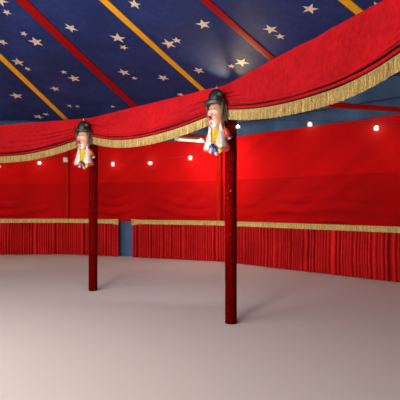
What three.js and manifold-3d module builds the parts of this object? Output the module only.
// A round circus big top with sixteen bays, one king pole and velvet hangings inside.
// Millimetres, +Z up, origin on the ground at the centre of the tent.
// The entrance bay faces -Y. Poles stand at 11.25 degrees plus whole bays.
import * as THREE from 'three';
import { mergeVertices } from 'three/addons/utils/BufferGeometryUtils.js';
import Module from 'manifold-3d';

const wasm = await Module();
wasm.setup();

// Plan
const BAYS = 16;
const BAY = 360 / BAYS;                 // degrees
const FIRST_POLE = BAY / 2;             // degrees
const SEAT = 0.3;                       // clearance where two pieces touch
const COS = Math.cos(THREE.MathUtils.degToRad(BAY / 2));   // corner radius to flat radius

// Frame
const SIDE_RING = 12950, SIDE_R = 70;   // sleeved side poles
const POST_RING = 8200, POST_R = 77, POST_TOP = 3100;
const BEAM_R = 48, BEAM_OUT_Z = 3400, BEAM_IN_Z = 2980;
const EAVE_RING = 13030, EAVE_RAIL_R = 25;
const VALANCE_RAIL_R = 18, VALANCE_RAIL_Z = 3080;
const RAIL_LEAD = 0.45, RAIL_STOP = 0.75;                  // degrees before a pole
const ARM_Z = 4050, ARM_END = 13165, ARM = 30;
const ROPE_R = 11, STAKE_RING = 15350, STAKE_R = 20, STAKE_TOP = 320, ROPE_LOW_Z = 230;

// Canopy underside, from the eave to the crown: radius at the poles, height
const CANOPY = [[13200, 4208], [13030, 4250], [8000, 5495], [6000, 6060], [4000, 6640],
  [2500, 7160], [1200, 7780], [500, 8330]];
const CANOPY_T = 15;
const EAVE_RAIL_Z = CANOPY[1][1] - EAVE_RAIL_R - SEAT;

// Hangings
const WALL_T = 15, WALL_TOP = EAVE_RAIL_Z + 3;
const LINING_T = 15, LINING_LOW = 1060, LINING_TOP = 3390;
const DADO_T = 40, DADO_LOW = 8, DADO_TOP = 1115;
const DADO_GAP_AZ = 69.1, DADO_GAP = 460, DADO_HEM = 25;   // where the blue wall shows
const VALANCE_T = 30, VALANCE_TOP = 3120, VALANCE_LOW = 2450, VALANCE_LOW_AT_POST = 2660;
const DOOR_W = 2600, DOOR_H = 2300, DOOR_AZ = 270;

// King pole and crown
const KING_R = 140, KING_TOP = 8620, KING_FLANGE_R = 350, KING_COLLAR_Z = 8180;
const CROWN_OUT = 520, CROWN_IN = 430, CROWN_LOW = 8200;
const CAP_RIM = 690, CAP_RIM_Z = 8400, CAP_TOP = 8760;

// Clown busts, hung on the posts: distances from the post axis towards the ring
const BUST_AXIS = 240, BUST_BACK = 134, BUST_LOW = 2150, BUST_TOP = 3050;
const COAT_LOW = 2240, BUST_HALF = 185, BRIM_R = 165, BRIM_Z = 2850;

// Lights
const BATTEN_IN = 10850, BATTEN_OUT = 12500, BATTEN_W = 110, BATTEN_H = 110;
const BOX_W = 150, BOX_D = 80, BOX_H = 160, BOX_Z = 2970;
const STRING_R = 6, STRING_RING = SIDE_RING - SIDE_R - 6.3, HOOK_Z = 3085, STRING_SAG = 260;
const STRING_HIGH_Z = 3740, STRING_HIGH_POLE = 2;          // hooked higher on this pole
const STRING_POINTS = [0, 0.25, 0.5, 0.75];                // along each bay, a bulb after each
const BULB_AT = 0.65;                                      // of the way to the next point

const rad = THREE.MathUtils.degToRad;
const poleAz = (i) => FIRST_POLE + BAY * i;
const at = (az, r, z) => new THREE.Vector3(r * Math.cos(rad(az)), r * Math.sin(rad(az)), z);

const paint = (color, roughness, metalness = 0) =>
  new THREE.MeshStandardMaterial({ color, roughness, metalness });
const BLUE = paint(0x1b2050, 0.6), RED = paint(0xb3121c, 0.7), RAIL_RED = paint(0x9c141b, 0.75);
const STEEL = paint(0xa6a9ad, 0.4, 0.8), WHITE = paint(0xe9e6dc, 0.5), CLOWN = paint(0xd9a58a, 0.4);
const CORD = paint(0x202020, 0.6);

// Solids

const solid = (geometry) => {
  const g = geometry.clone();
  g.deleteAttribute('normal');
  g.deleteAttribute('uv');
  const merged = mergeVertices(g.index ? g.toNonIndexed() : g, 1e-3);
  return new wasm.Manifold(new wasm.Mesh({
    numProp: 3,
    vertProperties: Float32Array.from(merged.attributes.position.array),
    triVerts: Uint32Array.from(merged.index.array),
  }));
};
const union = (solids) => solids.reduce((sum, next) => sum.add(next));

// Back to a geometry, with corners closer than 0.02 mm made one
const toGeometry = (body) => {
  const mesh = body.getMesh();
  const raw = new THREE.BufferGeometry();
  raw.setAttribute('position', new THREE.BufferAttribute(mesh.vertProperties, 3));
  raw.setIndex(new THREE.BufferAttribute(mesh.triVerts, 1));
  const geometry = mergeVertices(raw, 0.02);
  const corners = [...geometry.index.array];
  const triangles = corners.flatMap((a, i) => {
    if (i % 3) return [];
    const [b, c] = [corners[i + 1], corners[i + 2]];
    return a === b || b === c || c === a ? [] : [a, b, c];
  });
  geometry.setIndex(triangles);
  geometry.computeVertexNormals();
  return geometry;
};

const box = (x0, x1, y0, y1, z0, z1) => {
  const g = new THREE.BoxGeometry(x1 - x0, y1 - y0, z1 - z0);
  return g.translate((x0 + x1) / 2, (y0 + y1) / 2, (z0 + z1) / 2);
};
// A geometry drawn along +X, turned to an azimuth
const turned = (geometry, az) => solid(geometry.rotateZ(rad(az)));

// Round bar between two points. Its corners point across and up, or its flats where flat is true
const bar = (a, b, r, sides = 8, flat = false) => {
  const along = b.clone().sub(a);
  const geometry = new THREE.CylinderGeometry(r, r, along.length(), sides).rotateX(Math.PI / 2);
  if (flat) geometry.rotateZ(Math.PI / sides);
  const side = new THREE.Vector3(0, 0, 1).cross(along).normalize();
  if (side.length() < 0.5) side.set(-a.y, a.x, 0).normalize();
  const up = along.clone().cross(side).normalize();
  const turn = new THREE.Matrix4().makeBasis(side, up, along.clone().normalize());
  geometry.applyMatrix4(turn);
  const middle = a.clone().add(b).multiplyScalar(0.5);
  return solid(geometry.translate(middle.x, middle.y, middle.z));
};

// Sixteen-sided ring from a closed outline of [radius at the corners, height]
const ring = (outline, sides = BAYS) => {
  const points = [...outline, outline[0]].map(([r, z]) => new THREE.Vector2(r, z));
  const area = points.slice(1).reduce((s, p, i) => s + points[i].x * p.y - p.x * points[i].y, 0);
  if (area < 0) points.reverse();
  return solid(new THREE.LatheGeometry(points, sides, rad(FIRST_POLE)).rotateX(Math.PI / 2));
};
const band = (cornerIn, cornerOut, low, high) =>
  ring([[cornerIn, low], [cornerOut, low], [cornerOut, high], [cornerIn, high]]);
const lathe = (outline, sides) => {
  const points = outline.map(([r, z]) => new THREE.Vector2(r, z));
  return new THREE.LatheGeometry(points, sides).rotateX(Math.PI / 2);
};

// Wedge between two azimuths less than 180 degrees apart, half of gap short on each side
const wedge = (start, end, gap = 0) => {
  const middle = (start + end) / 2, reach = 20000;
  const apex = at(middle, gap / 2 / Math.sin(rad((end - start) / 2)), 0);
  const shape = new THREE.Shape([apex, ...[start, middle, end].map((a) => at(a, reach, 0).add(apex))]
    .map((p) => new THREE.Vector2(p.x, p.y)));
  return solid(new THREE.ExtrudeGeometry(shape, { depth: 12000, bevelEnabled: false })
    .translate(0, 0, -1000));
};
const QUARTERS = [0, 4, 8, 12].map((i) => wedge(poleAz(i), poleAz(i + 4), SEAT));
const DADO_QUARTERS = [0, 90, 180, 270].map((a) => wedge(a, a + 90, SEAT));  // part at the door

// Cuts a hole through the hangings of one bay, from the ground up
const doorway = () => turned(box(11000, 14000, -DOOR_W / 2, DOOR_W / 2, -100, DOOR_H), DOOR_AZ);

const big_top = new THREE.Group();
const put = (name, body, material) => {
  const mesh = new THREE.Mesh(toGeometry(body), material);
  mesh.name = name;
  big_top.add(mesh);
};
const putQuarters = (name, whole, material, quarters = QUARTERS) =>
  quarters.forEach((part, q) => put(`${name}_${q + 1}`, whole.intersect(part), material));

// Roof: four canopy quarters, laced together over the poles

const canopy = () => {
  const over = CANOPY.map(([r, z]) => [r, z + CANOPY_T]).reverse();
  return ring([...CANOPY, ...over]);
};

// Hangings

const outerWall = () => {
  const inner = EAVE_RING + (EAVE_RAIL_R + SEAT) / COS;
  const slots = [...Array(BAYS).keys()].map((i) =>
    turned(box(12900, 13300, -ARM, ARM, ARM_Z - 60, WALL_TOP + 50), poleAz(i)));
  return band(inner, inner + WALL_T / COS, 0, WALL_TOP).subtract(doorway())
    .subtract(union(slots));
};

const lining = () => {
  const inner = SIDE_RING + SIDE_R + SEAT;
  return band(inner, inner + LINING_T / COS, LINING_LOW, LINING_TOP).subtract(doorway());
};

const dado = () => {
  const outer = SIDE_RING - SIDE_R - SEAT;
  const gap = turned(box(12000, 13000, -DADO_GAP / 2, DADO_GAP / 2, -100,
    DADO_TOP - DADO_HEM), DADO_GAP_AZ);
  return band(outer - DADO_T / COS, outer, DADO_LOW, DADO_TOP).subtract(doorway())
    .subtract(gap);
};

const VALANCE_OUT = POST_RING - POST_R - SEAT;
const valance = () => {
  const half = POST_RING * Math.sin(rad(BAY / 2));
  const swag = new THREE.Shape();
  swag.moveTo(-half, 2000);
  for (let i = 0; i <= 10; i += 1) {
    const u = i / 5 - 1;
    swag.lineTo(half * u, VALANCE_LOW + (VALANCE_LOW_AT_POST - VALANCE_LOW) * u * u);
  }
  swag.lineTo(half, 2000);
  const cutter = new THREE.ExtrudeGeometry(swag, { depth: 1200, bevelEnabled: false })
    .applyMatrix4(new THREE.Matrix4().makeBasis(new THREE.Vector3(0, 1, 0),
      new THREE.Vector3(0, 0, 1), new THREE.Vector3(1, 0, 0)))
    .translate(7600, 0, 0);
  const cutters = [...Array(BAYS).keys()].map((i) => turned(cutter.clone(), BAY * i));
  return band(VALANCE_OUT - VALANCE_T / COS, VALANCE_OUT, VALANCE_LOW - 5, VALANCE_TOP)
    .subtract(union(cutters));
};

// Frame: two side poles with beams, posts, rails and guys to each piece

// Rail round the tent with eight flats, its outline's corners out, in, up and down
const rail = (cornerR, z, r) => ring([...Array(8).keys()].map((k) => k * Math.PI / 4)
  .map((a) => [cornerR + (r / COS) * Math.cos(a), z + r * Math.sin(a)]));
const VALANCE_RAIL_RING = VALANCE_OUT + (VALANCE_RAIL_R + SEAT) / COS;
const RAILS = union([rail(EAVE_RING, EAVE_RAIL_Z, EAVE_RAIL_R),
  rail(VALANCE_RAIL_RING, VALANCE_RAIL_Z, VALANCE_RAIL_R)]);

const poleSet = (i) => {
  const az = poleAz(i);
  return union([
    bar(at(az, SIDE_RING, 0), at(az, SIDE_RING, EAVE_RAIL_Z), SIDE_R),
    bar(at(az, POST_RING, 0), at(az, POST_RING, POST_TOP), POST_R),
    bar(at(az, SIDE_RING, BEAM_OUT_Z), at(az, POST_RING, BEAM_IN_Z), BEAM_R, 8, true),
    turned(box(SIDE_RING, ARM_END, -ARM / 2, ARM / 2, ARM_Z - ARM / 2, ARM_Z + ARM / 2), az),
    bar(at(az, ARM_END - 15, ARM_Z), at(az, STAKE_RING, ROPE_LOW_Z), ROPE_R, 4, true),
    bar(at(az, STAKE_RING, 0), at(az, STAKE_RING, STAKE_TOP), STAKE_R, 4),
  ]);
};

const framePair = (i) => union([poleSet(i), poleSet(i + 1),
  RAILS.intersect(wedge(poleAz(i) - RAIL_LEAD, poleAz(i + 2) - RAIL_STOP))]);

// Bust: bow, coat, head, hat and a bracket to the post, cut flat at the back

const bust = (i) => {
  const ball = (rx, ry, rz, x, z) => solid(new THREE.IcosahedronGeometry(1, 1)
    .scale(rx, ry, rz).translate(x, 0, z));
  const cone = (low, high, z0, z1, deep = 1) => solid(
    new THREE.CylinderGeometry(high, low, z1 - z0, 8).rotateX(Math.PI / 2)
      .scale(deep, 1, 1).translate(BUST_AXIS, 0, (z0 + z1) / 2));
  const whole = union([
    cone(55, 75, BUST_LOW, COAT_LOW, 0.8),
    cone(BUST_HALF - 30, BUST_HALF, COAT_LOW, COAT_LOW + 50, 0.6),
    cone(BUST_HALF, 60, COAT_LOW + 50, 2560, 0.6),
    ball(115, 100, 185, BUST_AXIS, 2680),
    cone(BRIM_R, BRIM_R, BRIM_Z - 12, BRIM_Z + 14), cone(110, 95, BRIM_Z, 2960),
    cone(95, 40, 2960, BUST_TOP),
  ]);
  const back = solid(box(-200, BUST_BACK, -400, 400, 2000, 3300));
  const bracket = solid(box(POST_R + SEAT, BUST_AXIS, -35, 35, COAT_LOW + 100, COAT_LOW + 160));
  const body = whole.subtract(back).add(bracket);
  const place = new THREE.Matrix4().makeRotationZ(rad(poleAz(i) + 180))
    .setPosition(at(poleAz(i), POST_RING, 0));
  return solid(toGeometry(body).applyMatrix4(place));
};

// King pole, crown ring and cap

const kingPole = () => union([
  solid(lathe([[0, 0], [KING_FLANGE_R, 0], [KING_FLANGE_R, 20], [KING_R, 20],
    [KING_R, KING_COLLAR_Z], [200, KING_COLLAR_Z], [200, CROWN_LOW], [KING_R, CROWN_LOW],
    [KING_R, KING_TOP], [0, KING_TOP]], 16)),
]);

const crownRing = () => {
  const [[r1, z1], [r0, z0]] = CANOPY.slice(-2);
  const top = z0 - (CROWN_OUT - r0) * ((z0 - z1) / (r1 - r0)) - SEAT;
  const bore = (KING_R + SEAT) / COS;
  const hub = band(bore, 200, CROWN_LOW + SEAT, 8280);
  const spokes = [0, 90, 180, 270].map((a) => turned(
    box(180, CROWN_IN + 30, -25, 25, CROWN_LOW + 20, CROWN_LOW + 70), a));
  return union([band(CROWN_IN, CROWN_OUT, CROWN_LOW, top), hub, ...spokes]);
};

const cap = () => solid(lathe([[0, KING_TOP + SEAT], [150, KING_TOP + SEAT],
  [CAP_RIM - 15, CAP_RIM_Z], [CAP_RIM, CAP_RIM_Z], [CAP_RIM, CAP_RIM_Z + 15],
  [170, KING_TOP + 30], [60, CAP_TOP - 30], [0, CAP_TOP]], 16));

// Lights

const batten = (az) => {
  const slope = Math.atan2(BEAM_OUT_Z - BEAM_IN_Z, SIDE_RING - POST_RING);
  const middle = (BATTEN_IN + BATTEN_OUT) / 2;
  const beamZ = BEAM_IN_Z + (middle - POST_RING) * Math.tan(slope);
  const half = (BATTEN_OUT - BATTEN_IN) / 2, drop = BEAM_R * Math.cos(Math.PI / 8) + SEAT;
  const body = box(-half, half, -BATTEN_W / 2, BATTEN_W / 2, -drop - BATTEN_H, -drop)
    .rotateY(-slope).translate(middle, 0, beamZ);
  return turned(body, az);
};

const lightBox = (az) => {
  const out = SIDE_RING - SIDE_R - SEAT;
  return turned(box(out - BOX_D, out, -BOX_W / 2, BOX_W / 2, BOX_Z - BOX_H / 2,
    BOX_Z + BOX_H / 2), az);
};

// Festoon: one string from one side of the entrance round to the other, tied at each pole
const STRING_POLES = [...Array(BAYS).keys()].map((k) => k - 4);       // pole -4 to pole 11
const stringPoint = (i, u) => {
  const a = at(poleAz(i), STRING_RING, 0), b = at(poleAz(i + 1), STRING_RING, 0);
  const rise = (STRING_HIGH_Z - HOOK_Z) * Math.sin(u * Math.PI / 2);
  const sag = STRING_SAG * (1 - (2 * u - 1) ** 2);
  return a.lerp(b, u).setZ(HOOK_Z + (i + 1 === STRING_HIGH_POLE ? rise : -sag));
};

// Straight pieces from point to point, one step each
class Route extends THREE.Curve {
  constructor(points) {
    super();
    this.points = points;
  }

  getPoint(t, target = new THREE.Vector3()) {
    const s = t * (this.points.length - 1);
    const k = Math.min(Math.floor(s + 1e-6), this.points.length - 2);
    return target.copy(this.points[k]).lerp(this.points[k + 1], s - k);
  }

  getPointAt(t, target) { return this.getPoint(t, target); }

  getTangentAt(t, target) { return this.getTangent(t, target); }
}

const festoon = () => {
  const spans = STRING_POLES.slice(0, -1);
  const points = spans.flatMap((i) => STRING_POINTS.map((u) => stringPoint(i, u)));
  points.push(stringPoint(spans.at(-1), 1));
  const hook = points.findIndex((p) => p.distanceTo(stringPoint(STRING_HIGH_POLE, 0)) < 1);
  points.splice(hook, 0, stringPoint(STRING_HIGH_POLE - 1, 0.96));
  const section = new THREE.Shape([...Array(8).keys()].map((k) => (k + 0.3) * Math.PI / 4)
    .map((a) => new THREE.Vector2(STRING_R * Math.cos(a), STRING_R * Math.sin(a))));
  const string = solid(new THREE.ExtrudeGeometry(section,
    { steps: points.length - 1, bevelEnabled: false, extrudePath: new Route(points) }));
  const bulb = lathe([[0, -120], [32, -85], [0, 5]], 5).rotateZ(0.2);
  const bulbs = spans.flatMap((i) => STRING_POINTS.map((u) => {
    const p = stringPoint(i, u).lerp(stringPoint(i, u + 0.25), BULB_AT);
    return solid(bulb.clone().translate(p.x, p.y, p.z));
  }));
  return union([string, ...bulbs]);
};

putQuarters('canopy_quarter', canopy(), BLUE);
putQuarters('outer_wall', outerWall(), BLUE);
putQuarters('wall_lining', lining(), RED);
putQuarters('dado_curtain', dado(), RED, DADO_QUARTERS);
putQuarters('valance', valance(), RED);
for (let k = 0; k < BAYS / 2; k += 1) put(`pole_frame_${k + 1}`, framePair(2 * k), RAIL_RED);
for (let i = 0; i < BAYS; i += 1) put(`clown_bust_${i + 1}`, bust(i), CLOWN);
put('king_pole', kingPole(), STEEL);
put('crown_ring', crownRing(), STEEL);
put('cupola_cap', cap(), BLUE);
for (let k = 0; k < 4; k += 1) {
  put(`batten_light_${k + 1}`, batten(poleAz(4 * k + 2)), WHITE);
  put(`junction_box_${k + 1}`, lightBox(poleAz(4 * k + 3)), WHITE);
}
put('festoon_string', festoon(), CORD);

export default big_top;
